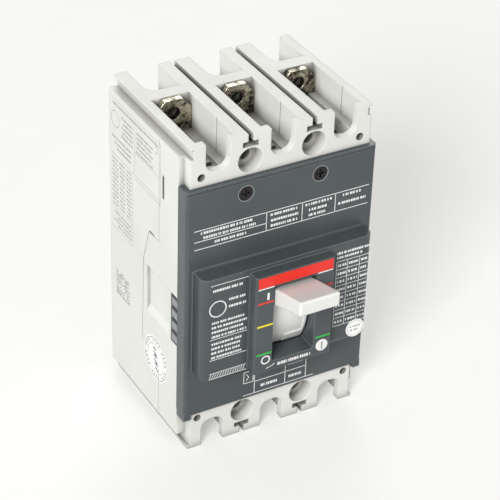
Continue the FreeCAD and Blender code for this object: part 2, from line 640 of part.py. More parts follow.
def case_screw(x, z):
    """Return a long case screw; its head sits at the foot of a 1.5 mm radius hole."""
    head = rod(1.45, (x, 3.2, z), (x, 5.0, z))
    shank = rod(1.2, (x, 5.0, z), (x, CASE_SCREW_END, z))
    drive = box(x - 1.0, x + 1.0, 3.0, 4.0, z - 0.25, z + 0.25)
    return join([head, shank]).cut(drive)


# ---------------------------------------------------------------- write every piece
save("case_base", make_base())
save("case_middle", make_middle())
save("front_cover", make_front_cover())
save("handle", make_handle())
save("handle_yoke", make_yoke())
save("mechanism_plate_left", make_side_plate(-1))
save("mechanism_plate_right", make_side_plate(1))
save("cradle", make_cradle())
save("cradle_pin", rod(1.5, (-8.4, CRADLE_PIN[0], CRADLE_PIN[1]), (8.4, CRADLE_PIN[0], CRADLE_PIN[1])))
save("upper_links", [link(LINK_TOP, KNEE, 2.3, 2.4, 1.3 + RUNNING_FIT, 1.4, s * 3.8, s * 5.0)
                     for s in (-1, 1)])
save("knee_pin", rod(1.4, (-6.5, KNEE[0], KNEE[1]), (6.5, KNEE[0], KNEE[1])))
save("lower_links", [link(LINK_LOW, KNEE, 2.3, 3.6, 1.2 + RUNNING_FIT, 2.6, s * 5.25, s * 6.45)
                     for s in (-1, 1)])
save("link_pin", rod(1.2, (-6.6, LINK_LOW[0], LINK_LOW[1]), (6.6, LINK_LOW[0], LINK_LOW[1])))
save("main_spring", helix_spring(1.7, 0.4, (0, -2.0, 65.0), (0, 25.9, 63.9), 14))
save("crossbar", make_crossbar())
save("arm_pins", [rod(1.2, (xc - 5, BAR_Y, BAR_Z), (xc + 5, BAR_Y, BAR_Z)) for xc in POLES])
for number, xc in enumerate(POLES, 1):
    save("contact_arm_%d" % number, make_arm(xc))
    save("line_terminal_%d" % number, make_line_terminal(xc))
    save("load_terminal_%d" % number, make_load_terminal(xc))
    cheeks, plates = make_chute(xc)
    save("arc_chute_cheeks_%d" % number, cheeks)
    save("arc_chute_plates_%d" % number, plates)
    save("bimetal_%d" % number, box(xc - 3.5, xc + 3.5, 20.6, 21.6, CHAMBER_LOW + PLATE, 33).cut(
        rod(1.2, (xc, 15, 28.2), (xc, 25, 28.2))))
    save("magnet_%d" % number, make_magnet(xc))
    save("armature_%d" % number, make_armature(xc))
    save("braid_%d" % number, make_braid(xc))
save("moving_contact_tips", [box(xc - 3.0, xc + 3.0, ARM_BACK, TIP_MEET - 0.05, 91.5, 97.5) for xc in POLES])
save("fixed_contact_tips", [box(xc - 3.3, xc + 3.3, TIP_MEET, CHAMBER_BACK - PLATE, 90.5, 98.5)
                            for xc in POLES])
save("calibrating_screws", [rod(1.2, (xc, 16.6, 28.2), (xc, 23.6, 28.2)) for xc in POLES])
save("trip_bar", make_trip_bar())
save("trip_button", make_button())
save("button_spring", helix_spring(2.05, 0.3, (BUTTON_X, -5.6, BUTTON_Z), (BUTTON_X, 4.0, BUTTON_Z), 7))
save("cover_screws", [cover_screw(side * COVER_SCREW_X, COVER_SCREW_Z) for side in (-1, 1)])
save("case_screws", [case_screw(x, z) for x, z in screw_places()])
save("badge_strip", box(-15.3, 15.3, -PANEL_FRONT - 0.15, -PANEL_FRONT, 74.4, 78.6))
save("quality_sticker", sticker_disc(0.12))
save("wing_sticker", rod(3.9, (29.6, -NOSE_FRONT - 0.12, 40.4), (29.6, -NOSE_FRONT, 40.4)))
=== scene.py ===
# %% [markdown]
# A three pole moulded-case circuit breaker, finished for a studio picture.
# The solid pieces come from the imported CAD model, already in place and joined to the bodies that move.
# This lesson gives each piece its own procedural finish, and adds what is too fine for CAD: printed
# rulings, small marks, sticker printing and the soft light that shows them.

# %% Load the fixed frame
import math
import random
import bmesh
import bpy
from mathutils import Matrix, Vector


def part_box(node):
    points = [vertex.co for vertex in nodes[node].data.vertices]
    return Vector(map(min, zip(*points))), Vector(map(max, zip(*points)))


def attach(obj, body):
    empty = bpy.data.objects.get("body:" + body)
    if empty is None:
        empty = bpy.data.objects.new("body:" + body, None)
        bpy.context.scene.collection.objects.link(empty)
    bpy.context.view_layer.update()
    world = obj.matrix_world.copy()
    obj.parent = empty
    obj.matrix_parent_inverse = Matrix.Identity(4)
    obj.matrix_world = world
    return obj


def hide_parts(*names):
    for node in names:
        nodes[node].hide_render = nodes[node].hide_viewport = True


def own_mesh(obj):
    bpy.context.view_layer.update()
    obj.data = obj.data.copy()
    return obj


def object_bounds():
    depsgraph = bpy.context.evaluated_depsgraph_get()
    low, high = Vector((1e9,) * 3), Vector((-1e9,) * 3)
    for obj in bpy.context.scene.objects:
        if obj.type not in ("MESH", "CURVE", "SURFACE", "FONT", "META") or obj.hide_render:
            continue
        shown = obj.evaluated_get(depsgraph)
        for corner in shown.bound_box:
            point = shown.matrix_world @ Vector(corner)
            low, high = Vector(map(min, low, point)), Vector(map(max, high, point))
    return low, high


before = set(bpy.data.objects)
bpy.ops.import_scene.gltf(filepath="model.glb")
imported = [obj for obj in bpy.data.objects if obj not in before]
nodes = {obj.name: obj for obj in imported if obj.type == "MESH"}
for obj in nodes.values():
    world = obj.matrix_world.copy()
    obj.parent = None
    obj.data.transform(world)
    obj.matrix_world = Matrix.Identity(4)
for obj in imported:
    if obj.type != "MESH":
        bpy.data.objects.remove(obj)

MM = 0.001
cad_low, cad_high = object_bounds()
print("CAD box in mm:", [round(v / MM, 2) for v in (*cad_low, *cad_high)])

# %% [markdown]
# Planes and places.  The front of the breaker is stepped: the grey block at the ends, the slate cover,
# the broad nose, and the panel around the toggle.  Every print lies on one of those planes.  The back of
# the badge lies on the panel and the back of the wing sticker on the nose, so their boxes give those two
# planes.  The cover stands a little in front of the block, and the left sticker gives the side.

# %% Read the main planes from the CAD nodes
sticker_low, sticker_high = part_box("quality_sticker")
wing_low, wing_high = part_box("wing_sticker")
block_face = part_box("case_middle")[0].y
COVER_PROUD = 1.8 * MM
PANEL_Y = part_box("badge_strip")[1].y
NOSE_Y = wing_high.y
COVER_Y = block_face - COVER_PROUD
SIDE_X = sticker_low.x
BLOCK_Y = round(block_face / MM, 3)
print("panel, nose, cover planes in mm:", [round(v / MM, 2) for v in (PANEL_Y, NOSE_Y, COVER_Y)])
print("left side and block face in mm:", round(SIDE_X / MM, 2), BLOCK_Y)

# %% [markdown]
# The camera is a long lens held a little above the front left corner, so both the printed side and the
# terminals at the top can be read at once.  Its three axes are written as a matrix, which says exactly
# how the camera is turned, with no Euler angles to mix up.

# %% Camera
camera_data = bpy.data.cameras.new("studio_camera")
camera = bpy.data.objects.new("studio_camera", camera_data)
bpy.context.scene.collection.objects.link(camera)
camera_right = Vector((0.872566, -0.487602, 0.029533))
camera_up = Vector((0.248504, 0.495124, 0.832526))
camera_back = Vector((-0.420564, -0.719095, 0.553199))
turn = Matrix((camera_right, camera_up, camera_back)).transposed().to_4x4()
camera.matrix_world = Matrix.Translation((-0.284924, -0.481793, 0.441684)) @ turn
camera_data.lens = 132.04
camera_data.sensor_width = 36.0
camera_data.clip_start = 0.01
camera_data.clip_end = 20.0
bpy.context.scene.camera = camera
print("camera is", round((camera.location - (cad_low + cad_high) / 2).length, 3), "m from the middle")

# %% [markdown]
# The stage is a white sweep: a floor that runs back and curves up into a wall, so there is no horizon.
# The camera sees it as white, while lamps and the object still see an ordinary pale floor that takes a
# shadow.  A bent grid built in bmesh does this with one smooth surface.

# %% Floor and backdrop
BEND_STEPS = 12


def make_sweep(width, front, back, height, radius):
    """Build the floor, the bend and the wall as one strip of quads."""
    mesh = bmesh.new()
    profile = [(front, 0.0), (0.0, 0.0), (back - radius, 0.0)]
    for step in range(1, BEND_STEPS + 1):
        angle = math.pi / 2 * step / BEND_STEPS
        profile.append((back - radius + radius * math.sin(angle), radius - radius * math.cos(angle)))
    profile.append((back, height))
    rows = []
    for y, z in profile:
        rows.append([mesh.verts.new((x, y, z)) for x in (-width / 2, 0.0, width / 2)])
    for lower, upper in zip(rows, rows[1:]):
        for k in range(2):
            mesh.faces.new((lower[k], lower[k + 1], upper[k + 1], upper[k]))
    data = bpy.data.meshes.new("sweep")
    mesh.to_mesh(data)
    mesh.free()
    data.polygons.foreach_set("use_smooth", [True] * len(data.polygons))
    return bpy.data.objects.new("sweep", data)


sweep = make_sweep(8.0, -3.0, 3.0, 4.0, 1.0)
sweep.location.z = cad_low.z
bpy.context.scene.collection.objects.link(sweep)
print("floor lies at z =", round(sweep.location.z, 4))

# %% [markdown]
# Small helpers for node materials.  Each finish below is a Principled shader with a little noise: a
# moulded plastic is never one flat colour, it has a fine spark-eroded grain, faint flow marks and painted
# shade.

# %% Node helpers
def new_material(name):
    """Return a material with its node tree and its shader."""
    material = bpy.data.materials.new(name)
    material.use_nodes = True
    tree = material.node_tree
    shader = tree.nodes["Principled BSDF"]
    return material, tree, shader


def add(tree, kind, **settings):
    """Add one node and set its plain properties."""
    node = tree.nodes.new(kind)
    for key, value in settings.items():
        setattr(node, key, value)
    return node


def object_coordinates(tree):
    """Return the output that gives the place on the object in metres."""
    return add(tree, "ShaderNodeTexCoord").outputs["Object"]


def noise(tree, scale, detail, roughness=0.5, stretch=None):
    """Return a noise factor at a scale in features per metre."""
    texture = add(tree, "ShaderNodeTexNoise")
    texture.inputs["Scale"].default_value = scale
    texture.inputs["Detail"].default_value = detail
    texture.inputs["Roughness"].default_value = roughness
    place = object_coordinates(tree)
    if stretch:
        mapping = add(tree, "ShaderNodeMapping")
        mapping.inputs["Scale"].default_value = stretch
        tree.links.new(place, mapping.inputs["Vector"])
        place = mapping.outputs["Vector"]
    tree.links.new(place, texture.inputs["Vector"])
    return texture.outputs["Fac"]


def spread(tree, factor, low, high, out_low=0.0, out_high=1.0):
    """Stretch a factor between two values."""
    node = add(tree, "ShaderNodeMapRange")
    node.inputs["From Min"].default_value = low
    node.inputs["From Max"].default_value = high
    node.inputs["To Min"].default_value = out_low
    node.inputs["To Max"].default_value = out_high
    tree.links.new(factor, node.inputs["Value"])
    return node.outputs["Result"]


def mix(tree, factor, first, second):
    """Mix two colours by a factor output; each colour is a tuple or an output."""
    node = add(tree, "ShaderNodeMix", data_type="RGBA")
    tree.links.new(factor, node.inputs[0])
    for socket, value in ((node.inputs[6], first), (node.inputs[7], second)):
        if isinstance(value, tuple):
            socket.default_value = (*value, 1.0)
        else:
            tree.links.new(value, socket)
    return node.outputs[2]


def multiply(tree, factor, amount):
    """Multiply a factor output by a number."""
    node = add(tree, "ShaderNodeMath", operation="MULTIPLY")
    tree.links.new(factor, node.inputs[0])
    node.inputs[1].default_value = amount
    return node.outputs[0]


def edge_mask(tree, radius):
    """Return a factor that is 1 on sharp edges: where a rounded normal leaves the true one."""
    bevel = add(tree, "ShaderNodeBevel", samples=4)
    bevel.inputs["Radius"].default_value = radius
    geometry = add(tree, "ShaderNodeNewGeometry")
    dot = add(tree, "ShaderNodeVectorMath", operation="DOT_PRODUCT")
    tree.links.new(bevel.outputs["Normal"], dot.inputs[0])
    tree.links.new(geometry.outputs["Normal"], dot.inputs[1])
    return spread(tree, dot.outputs["Value"], 0.99, 0.80)


def bump(tree, shader, height, distance, strength, edge_radius=0.0):
    """Feed a height into the shader's normal, over edges softened by a small radius."""
    node = add(tree, "ShaderNodeBump")
    node.inputs["Distance"].default_value = distance
    node.inputs["Strength"].default_value = strength
    tree.links.new(height, node.inputs["Height"])
    if edge_radius:
        bevel = add(tree, "ShaderNodeBevel", samples=4)
        bevel.inputs["Radius"].default_value = edge_radius
        tree.links.new(bevel.outputs["Normal"], node.inputs["Normal"])
    tree.links.new(node.outputs["Normal"], shader.inputs["Normal"])


def seen_directly(tree):
    """Return 1 for rays that show the background itself: camera, glossy and transmission rays."""
    path = add(tree, "ShaderNodeLightPath")
    either = add(tree, "ShaderNodeMath", operation="MAXIMUM")
    every = add(tree, "ShaderNodeMath", operation="MAXIMUM")
    tree.links.new(path.outputs["Is Camera Ray"], either.inputs[0])
    tree.links.new(path.outputs["Is Glossy Ray"], either.inputs[1])
    tree.links.new(either.outputs[0], every.inputs[0])
    tree.links.new(path.outputs["Is Transmission Ray"], every.inputs[1])
    return every.outputs[0]


print("helpers ready")

# %% [markdown]
# Stage colour and studio light.  The floor is an ordinary pale diffuse surface, so it keeps the shadow.
# Rays from the camera, and glossy and transmitted rays, see a little white added to it, which lifts it to
# paper white without putting more light on the breaker.  The world works the same way: it is a dim warm
# room for the light that falls on the breaker, and a white one where it is seen or mirrored.

# %% Stage material and world
FLOOR_LIFT = 0.42
ROOM_LIGHT, ROOM_SEEN = 0.36, 1.0
stage_material, stage_tree, stage_shader = new_material("studio_paper")
paper_grain = noise(stage_tree, 40.0, 2.0)
paper = mix(stage_tree, paper_grain, (0.50, 0.50, 0.50), (0.52, 0.52, 0.515))
stage_tree.links.new(paper, stage_shader.inputs["Base Color"])
stage_shader.inputs["Roughness"].default_value = 0.9
stage_shader.inputs["Specular IOR Level"].default_value = 0.1
stage_shader.inputs["Emission Color"].default_value = (1.0, 1.0, 0.985, 1.0)
lift = multiply(stage_tree, seen_directly(stage_tree), FLOOR_LIFT)
stage_tree.links.new(lift, stage_shader.inputs["Emission Strength"])
sweep.data.materials.append(stage_material)

world = bpy.data.worlds.new("studio_world")
bpy.context.scene.world = world
world.use_nodes = True
world_tree = world.node_tree
background = world_tree.nodes["Background"]
seen_room = seen_directly(world_tree)
room_strength = spread(world_tree, seen_room, 0.0, 1.0, ROOM_LIGHT, ROOM_SEEN)
world_tree.links.new(room_strength, background.inputs["Strength"])
room_colour = mix(world_tree, seen_room, (1.0, 0.965, 0.90), (0.97, 0.97, 0.96))
world_tree.links.new(room_colour, background.inputs["Color"])
bpy.context.scene.view_settings.view_transform = "Standard"
print("floor lift", FLOOR_LIFT, "and room strength", ROOM_LIGHT, "for light,", ROOM_SEEN, "where seen")

# %% [markdown]
# Three square soft boxes.  The key is high on the front left and throws the soft shadow, a weak fill on
# the right keeps the terminals from going black, and a third one behind lights the back of the case.

# %% Lamps
def soft_box(name, place, target, size, power):
    """Hang a square area lamp at a place and aim it at a target."""
    data = bpy.data.lights.new(name, "AREA")
    data.shape = "SQUARE"
    data.size = size
    data.energy = power
    lamp = bpy.data.objects.new(name, data)
    lamp.location = place
    lamp.rotation_mode = "QUATERNION"
    lamp.rotation_quaternion = (Vector(target) - Vector(place)).to_track_quat("-Z", "Y")
    bpy.context.scene.collection.objects.link(lamp)


middle = (cad_low + cad_high) / 2
soft_box("key_front_left", (-2.22, -1.85, 1.79), middle, 1.2, 124.0)
soft_box("fill_front_right", (0.9, -1.5, 0.5), middle, 1.0, 2.5)
soft_box("fill_behind", (1.1, 2.0, 1.5), middle, 1.2, 20.0)
print("lamps aim at", [round(v, 3) for v in middle])

# %% [markdown]
# The grey case is a glass-filled thermoset moulding: warm light grey, matt, with a fine grain and painted
# shade in its corners.  Grain comes from two scales of noise in the colour and the bump.  The shader softens
# the edges by up to half a millimetre, as a mould's edges are, and an ambient occlusion node finds the
# corners and holes that get the painted shade.

# %% Plastics
# Painted shade: corners and holes of the plastics are darkened towards this dark warm colour.
SHADE_REACH = 0.007
PAINTED_SHADE_COLOUR = (0.085, 0.075, 0.055)


def moulded_plastic(name, light, dark, roughness, grain, grain_depth, edge_radius, edge_light, corner_shade=0.0):
    """Return a moulded plastic whose colour wanders between two close tones."""
    material, tree, shader = new_material(name)
    cloud = spread(tree, noise(tree, 35.0, 4.0), 0.35, 0.65)
    colour = mix(tree, cloud, dark, light)
    speck = spread(tree, noise(tree, grain, 2.0, 0.6), 0.30, 0.70)
    colour = mix(tree, multiply(tree, speck, 0.10), colour, tuple(0.6 * c for c in dark))
    # Painted highlight and wear: sharp edges are mixed towards a lighter colour; on the slate cover it is a
    # painted highlight.
    if edge_light:
        edge_wear_and_highlight = multiply(tree, edge_mask(tree, edge_radius * 1.4), edge_light)
        colour = mix(tree, edge_wear_and_highlight, colour, tuple(min(1.0, c * 1.6 + 0.05) for c in light))
    # Painted shade: where ambient occlusion finds a corner or hole, the colour is darkened.
    if corner_shade:
        corner = add(tree, "ShaderNodeAmbientOcclusion", samples=8)
        corner.inputs["Distance"].default_value = SHADE_REACH
        hidden = spread(tree, corner.outputs["AO"], 0.80, 0.30)
        colour = mix(tree, multiply(tree, hidden, corner_shade), colour, PAINTED_SHADE_COLOUR)
    tree.links.new(colour, shader.inputs["Base Color"])
    rough = spread(tree, noise(tree, 90.0, 3.0), 0.3, 0.7, roughness - 0.06, roughness + 0.06)
    tree.links.new(rough, shader.inputs["Roughness"])
    shader.inputs["Specular IOR Level"].default_value = 0.4
    bump(tree, shader, speck, grain_depth, 0.5, edge_radius)
    return material


case_grey = moulded_plastic("case_grey", (0.745, 0.755, 0.72), (0.70, 0.71, 0.675), 0.55, 2600.0, 0.00004,
                            0.0005, 0.25, 0.80)
cover_slate = moulded_plastic("cover_slate", (0.070, 0.082, 0.088), (0.055, 0.066, 0.072), 0.32, 3200.0,
                              0.00003, 0.0006, 0.75)
toggle_white = moulded_plastic("toggle_white", (0.80, 0.81, 0.79), (0.77, 0.78, 0.755), 0.38, 2400.0, 0.00002,
                               0.0005, 0.15, 0.15)
button_white = moulded_plastic("button_white", (0.86, 0.87, 0.85), (0.83, 0.84, 0.82), 0.35, 2400.0, 0.00002,
                               0.0002, 0.0, 0.3)
black_moulding = moulded_plastic("black_moulding", (0.05, 0.05, 0.055), (0.035, 0.035, 0.04), 0.5, 2600.0,
                                 0.00003, 0.0003, 0.3)
fibre_red = moulded_plastic("fibre_red", (0.50, 0.22, 0.12), (0.40, 0.17, 0.09), 0.75, 1800.0, 0.00005,
                            0.0001, 0.3)
plastics = (case_grey, cover_slate, toggle_white, button_white, black_moulding, fibre_red)
print("plastics:", [finish.name for finish in plastics])

# %% [markdown]
# The terminal pads are nickel-plated copper that has been handled: dull grey with dark bronze stains and
# bright edges painted in as a highlight.  The steel, copper, silver and iron inside share the same brushed
# recipe with other colours.

# %% Metals
def worked_metal(name, light, dark, stain, stain_amount, roughness, brush=(1.0, 1.0, 1.0),
                 edge_radius=0.00015):
    """Return a metal with brushing, stains and bright edges."""
    material, tree, shader = new_material(name)
    lines = noise(tree, 900.0, 3.0, 0.6, brush)
    colour = mix(tree, spread(tree, lines, 0.3, 0.7), dark, light)
    patches = spread(tree, noise(tree, 300.0, 5.0, 0.7), 0.44, 0.56)
    colour = mix(tree, multiply(tree, patches, stain_amount), colour, stain)
    # Painted highlight: the edges are mixed towards a lighter colour.
    edges = edge_mask(tree, edge_radius * 2)
    colour = mix(tree, multiply(tree, edges, 0.6), colour, tuple(min(1.0, c * 1.5) for c in light))
    tree.links.new(colour, shader.inputs["Base Color"])
    shader.inputs["Metallic"].default_value = 1.0
    rough = spread(tree, patches, 0.0, 1.0, roughness, min(1.0, roughness + 0.2))
    tree.links.new(rough, shader.inputs["Roughness"])
    bump(tree, shader, lines, 0.00003, 0.5, edge_radius)
    return material


pad_nickel = worked_metal("pad_nickel", (0.66, 0.62, 0.50), (0.30, 0.27, 0.20), (0.022, 0.018, 0.012), 0.97,
                          0.26, (1.0, 6.0, 1.0), 0.00025)
zinc_steel = worked_metal("zinc_steel", (0.66, 0.67, 0.68), (0.52, 0.53, 0.55), (0.40, 0.38, 0.33), 0.4, 0.32)
mechanism_steel = worked_metal("mechanism_steel", (0.55, 0.55, 0.56), (0.40, 0.40, 0.41), (0.26, 0.23, 0.20),
                               0.5, 0.38, (1.0, 0.3, 4.0))
spring_steel = worked_metal("spring_steel", (0.42, 0.42, 0.44), (0.28, 0.28, 0.30), (0.15, 0.14, 0.13), 0.4,
                            0.35)
copper = worked_metal("copper", (0.80, 0.44, 0.29), (0.62, 0.32, 0.20), (0.34, 0.16, 0.10), 0.5, 0.35)
contact_silver = worked_metal("contact_silver", (0.85, 0.85, 0.83), (0.70, 0.70, 0.68), (0.38, 0.36, 0.34),
                              0.5, 0.30)
chute_steel = worked_metal("chute_steel", (0.56, 0.54, 0.51), (0.42, 0.40, 0.38), (0.30, 0.22, 0.16), 0.5,
                           0.42)
bimetal_strip = worked_metal("bimetal_strip", (0.62, 0.56, 0.48), (0.50, 0.45, 0.38), (0.34, 0.28, 0.36), 0.5,
                             0.3)
soft_iron = worked_metal("soft_iron", (0.40, 0.40, 0.42), (0.28, 0.28, 0.30), (0.22, 0.16, 0.12), 0.5, 0.45)
black_steel = worked_metal("black_steel", (0.045, 0.045, 0.05), (0.02, 0.02, 0.022), (0.08, 0.07, 0.06), 0.3,
                           0.40, edge_radius=0.0002)
metals = (pad_nickel, zinc_steel, mechanism_steel, spring_steel, copper, contact_silver, chute_steel,
          bimetal_strip, soft_iron, black_steel)
print("metals:", [finish.name for finish in metals])

# %% [markdown]
# Prints.  Pad-printed ink is a very thin film: it keeps the plastic's grain, covers a little unevenly and
# is slightly glossier than the base.  One recipe makes every ink from its colour.

# %% Inks and papers
def ink(name, colour, thin, roughness=0.5):
    """Return a printed film that lets some of the base through."""
    material, tree, shader = new_material(name)
    cover = spread(tree, noise(tree, 3800.0, 3.0, 0.7), 0.25, 0.60)
    shade = mix(tree, cover, thin, colour)
    tree.links.new(shade, shader.inputs["Base Color"])
    shader.inputs["Roughness"].default_value = roughness
    bump(tree, shader, cover, 0.00002, 0.4)
    return material


white_ink = ink("white_ink", (0.88, 0.89, 0.88), (0.62, 0.64, 0.65))
grey_ink = ink("grey_ink", (0.30, 0.305, 0.30), (0.44, 0.44, 0.43))
red_ink = ink("red_ink", (0.80, 0.035, 0.02), (0.60, 0.03, 0.025))
yellow_ink = ink("yellow_ink", (0.92, 0.80, 0.02), (0.72, 0.60, 0.04))
green_ink = ink("green_ink", (0.01, 0.60, 0.06), (0.02, 0.42, 0.06))
# Painted highlight: a lighter slate for the faces of the cover's teeth and the rims of its screw seats.
painted_highlight_slate = ink("painted_highlight_slate", (0.26, 0.28, 0.285), (0.18, 0.20, 0.205), 0.4)
seam_dirt = ink("seam_dirt", (0.16, 0.145, 0.12), (0.34, 0.32, 0.28), 0.8)
# Black print, also laid as painted shade in the gaps beside the teeth and the cover and in the cover's
# groove.
black_print_and_shade = ink("black_print_and_shade", (0.03, 0.03, 0.03), (0.10, 0.10, 0.10))
badge_red = ink("badge_red", (0.80, 0.022, 0.010), (0.72, 0.022, 0.012), 0.32)
sticker_paper = ink("sticker_paper", (0.95, 0.955, 0.95), (0.91, 0.915, 0.91), 0.35)
films = (white_ink, grey_ink, red_ink, yellow_ink, green_ink, painted_highlight_slate, seam_dirt, black_print_and_shade, badge_red,
         sticker_paper)
print("inks and papers:", [finish.name for finish in films])

# %% [markdown]
# Now each CAD piece gets its finish.  The table below goes by the start of a node's name, so a piece that
# repeats for each pole needs only one line.

# %% Finish for every CAD node
finish_by_start = {
    "case_": case_grey, "front_cover": cover_slate, "handle": toggle_white, "trip_button": button_white,
    "badge_strip": badge_red, "quality_sticker": sticker_paper, "wing_sticker": sticker_paper,
    "cover_screws": black_steel, "case_screws": black_steel, "handle_yoke": mechanism_steel,
    "mechanism_plate": mechanism_steel, "cradle": mechanism_steel, "cradle_pin": zinc_steel,
    "upper_links": mechanism_steel, "lower_links": mechanism_steel, "knee_pin": zinc_steel,
    "link_pin": zinc_steel, "arm_pins": zinc_steel, "main_spring": spring_steel,
    "button_spring": spring_steel, "crossbar": black_moulding, "trip_bar": black_moulding,
    "contact_arm": copper, "braid": copper, "line_terminal": pad_nickel, "load_terminal": pad_nickel,
    "moving_contact_tips": contact_silver, "fixed_contact_tips": contact_silver,
    "arc_chute_cheeks": fibre_red, "arc_chute_plates": chute_steel, "bimetal": bimetal_strip,
    "magnet": soft_iron, "armature": soft_iron, "calibrating_screws": zinc_steel}


def finish_for(name):
    """Return the finish whose key is the longest start of the node's name."""
    keys = [key for key in finish_by_start if name.startswith(key)]
    return finish_by_start[max(keys, key=len)]


for name, node in nodes.items():
    for slot in node.material_slots:
        slot.material = finish_for(name)
print("finished CAD nodes:", len(nodes))

# %% [markdown]
# Printed rulings, bars, rings and dashes.  Each print is a film whose face stands 0.03 mm out and whose
# foot is sunk 0.01 mm in.  A film is built on a flat drawing board first, in millimetres across and up, and
# is then laid on its plane: the front planes face -Y, and the two side planes face -X and +X.  On a side,
# across is the depth behind the block's face, and the film lies 0.01 mm deeper.

# %% Film builder
FILM = 0.03
FILM_FOOT = -0.01
SIDE_SINK = 0.01
SHORTEST_DASH = 0.3


class Film:
    """Collects flat outlines and turns them into one thin mesh on a plane."""

    def __init__(self, name, material, body, slot_name):
        self.name, self.material, self.body, self.slot_name = name, material, body, slot_name
        self.outlines = []

    def bar(self, x0, x1, z0, z1):
        """Add a rectangle."""
        self.outlines.append([(x0, z0), (x1, z0), (x1, z1), (x0, z1)])

    def line(self, start, end, width):
        """Add a straight stroke between two points."""
        (x0, z0), (x1, z1) = start, end
        length = math.hypot(x1 - x0, z1 - z0)
        nx, nz = -(z1 - z0) / length * width / 2, (x1 - x0) / length * width / 2
        self.outlines.append([(x0 + nx, z0 + nz), (x0 - nx, z0 - nz), (x1 - nx, z1 - nz), (x1 + nx, z1 + nz)])

    def arc(self, centre, radius, width, start=0.0, end=360.0):
        """Add part of a ring as short joined strokes."""
        steps = max(6, int(abs(end - start) / 10))
        for k in range(steps):
            corners = []
            for angle, r in ((k, radius), (k + 1, radius), (k + 1, radius - width), (k, radius - width)):
                a = math.radians(start + (end - start) * angle / steps)
                corners.append((centre[0] + r * math.cos(a), centre[1] + r * math.sin(a)))
            self.outlines.append(corners)

    def dashes(self, x0, x1, z, height, seed):
        """Add a row of short uneven dashes, as small print looks from a distance."""
        rng = random.Random(seed)
        x = x0
        while x < x1 - SHORTEST_DASH:
            width = min(rng.uniform(0.35, 0.95), x1 - x)
            self.bar(x, x + width, z - height / 2, z + height / 2)
            x += width + rng.choice((0.22, 0.22, 0.28, 0.6))

    def lay(self, plane):
        """Make the mesh; plane turns across, up and out in millimetres into a place on the object."""
        mesh = bmesh.new()
        for outline in self.outlines:
            lower = [mesh.verts.new(plane(x, z, FILM_FOOT)) for x, z in outline]
            upper = [mesh.verts.new(plane(x, z, FILM)) for x, z in outline]
            mesh.faces.new(upper)
            mesh.faces.new(lower[::-1])
            for k in range(len(outline)):
                j = (k + 1) % len(outline)
                mesh.faces.new((lower[k], lower[j], upper[j], upper[k]))
        bmesh.ops.recalc_face_normals(mesh, faces=mesh.faces[:])
        data = bpy.data.meshes.new(self.name)
        mesh.to_mesh(data)
        mesh.free()
        data.materials.append(self.material)
        piece = bpy.data.objects.new(self.name, data)
        bpy.context.scene.collection.objects.link(piece)
        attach(piece, self.body)
        print(self.name, "shapes:", len(self.outlines))
        return piece


def front_plane(y):
    """Return the layer function of a plane that faces -Y."""
    return lambda x, z, out: (x * MM, y - out * MM, z * MM)


def side_plane(x, facing):
    """Return the layer function of a side; facing is -1 for the left side and 1 for the right."""
    return lambda depth, z, out: (x + facing * (out - SIDE_SINK) * MM, (depth + BLOCK_Y) * MM, z * MM)


left_side, right_side = side_plane(SIDE_X, -1), side_plane(-SIDE_X, 1)
print("film thickness in mm:", round(FILM - FILM_FOOT, 3))

# %% [markdown]
# The slate cover carries a ruled table above the nose and a smaller one below it.  The rulings are kept,
# and the cells hold rows of dashes where a maker would print ratings.

# %% Cover tables
LINE = 0.28
upper_table = Film("upper_table_print", white_ink, "case", "sticker_white")
for z, x0, x1 in ((97.5, -35.1, 35.9), (93.0, -35.1, -6.3), (89.8, -35.0, 35.8)):
    upper_table.line((x0, z), (x1, z), LINE)
for x, z0 in ((-6.4, 89.8), (8.2, 89.8), (21.9, 89.8)):
    upper_table.line((x, z0), (x, 97.6), LINE)
rows = [(-32.5, -12.0, 96.2), (-31.5, -10.5, 94.2), (-27.0, -14.5, 91.4), (-4.8, 6.0, 96.0),
        (-4.6, 6.6, 93.6), (-4.6, 6.2, 91.4), (9.4, 20.8, 96.0), (11.0, 18.4, 93.6), (11.0, 18.4, 91.4),
        (25.0, 32.5, 96.0), (23.2, 34.8, 92.8)]
for k, (x0, x1, z) in enumerate(rows):
    upper_table.dashes(x0, x1, z, 1.0, 100 + k)
upper_table.lay(front_plane(COVER_Y))

lower_table = Film("lower_table_print", white_ink, "case", "sticker_white")
lower_table.line((-9.0, 23.7), (13.1, 23.7), LINE)
lower_table.line((-13.5, 18.4), (16.9, 18.4), LINE)
for x, z1 in ((-8.8, 27.0), (4.4, 33.5), (13.4, 33.5)):
    lower_table.line((x, 18.5), (x, z1), LINE)
mark_box = [(-13.4, 24.1), (-9.4, 24.1), (-9.4, 29.2), (-13.4, 29.2), (-13.4, 24.1)]
for start, end in zip(mark_box, mark_box[1:]):
    lower_table.line(start, end, LINE)
lower_table.line((-12.4, 25.2), (-11.2, 26.6), LINE)
lower_table.line((-11.2, 26.6), (-12.4, 28.1), LINE)
lower_table.dashes(-7.0, 3.4, 28.4, 1.2, 21)
lower_table.dashes(-6.0, 1.0, 21.0, 1.2, 22)
lower_table.dashes(6.0, 11.5, 21.0, 1.2, 23)
lower_table.dashes(5.6, 12.2, 27.0, 1.2, 24)
lower_table.lay(front_plane(COVER_Y))

# %% [markdown]
# The panel around the toggle has coloured scale lines, the I and O marks and a thin line below the badge.

# %% Panel marks
panel_white = Film("panel_white_print", white_ink, "case", "sticker_white")
panel_white.bar(-15.3, -8.9, 73.7, 74.15)
panel_white.bar(9.0, 15.3, 73.7, 74.15)
panel_white.bar(-11.6, -10.7, 68.8, 71.8)
panel_white.arc((-11.3, 42.3), 1.9, 0.55)
panel_white.line((-11.0, 38.3), (-8.6, 38.9), 0.3)
panel_white.line((-8.6, 38.9), (-7.4, 39.6), 0.3)
panel_white.dashes(-6.2, 7.6, 38.9, 1.3, 25)
panel_white.lay(front_plane(PANEL_Y))

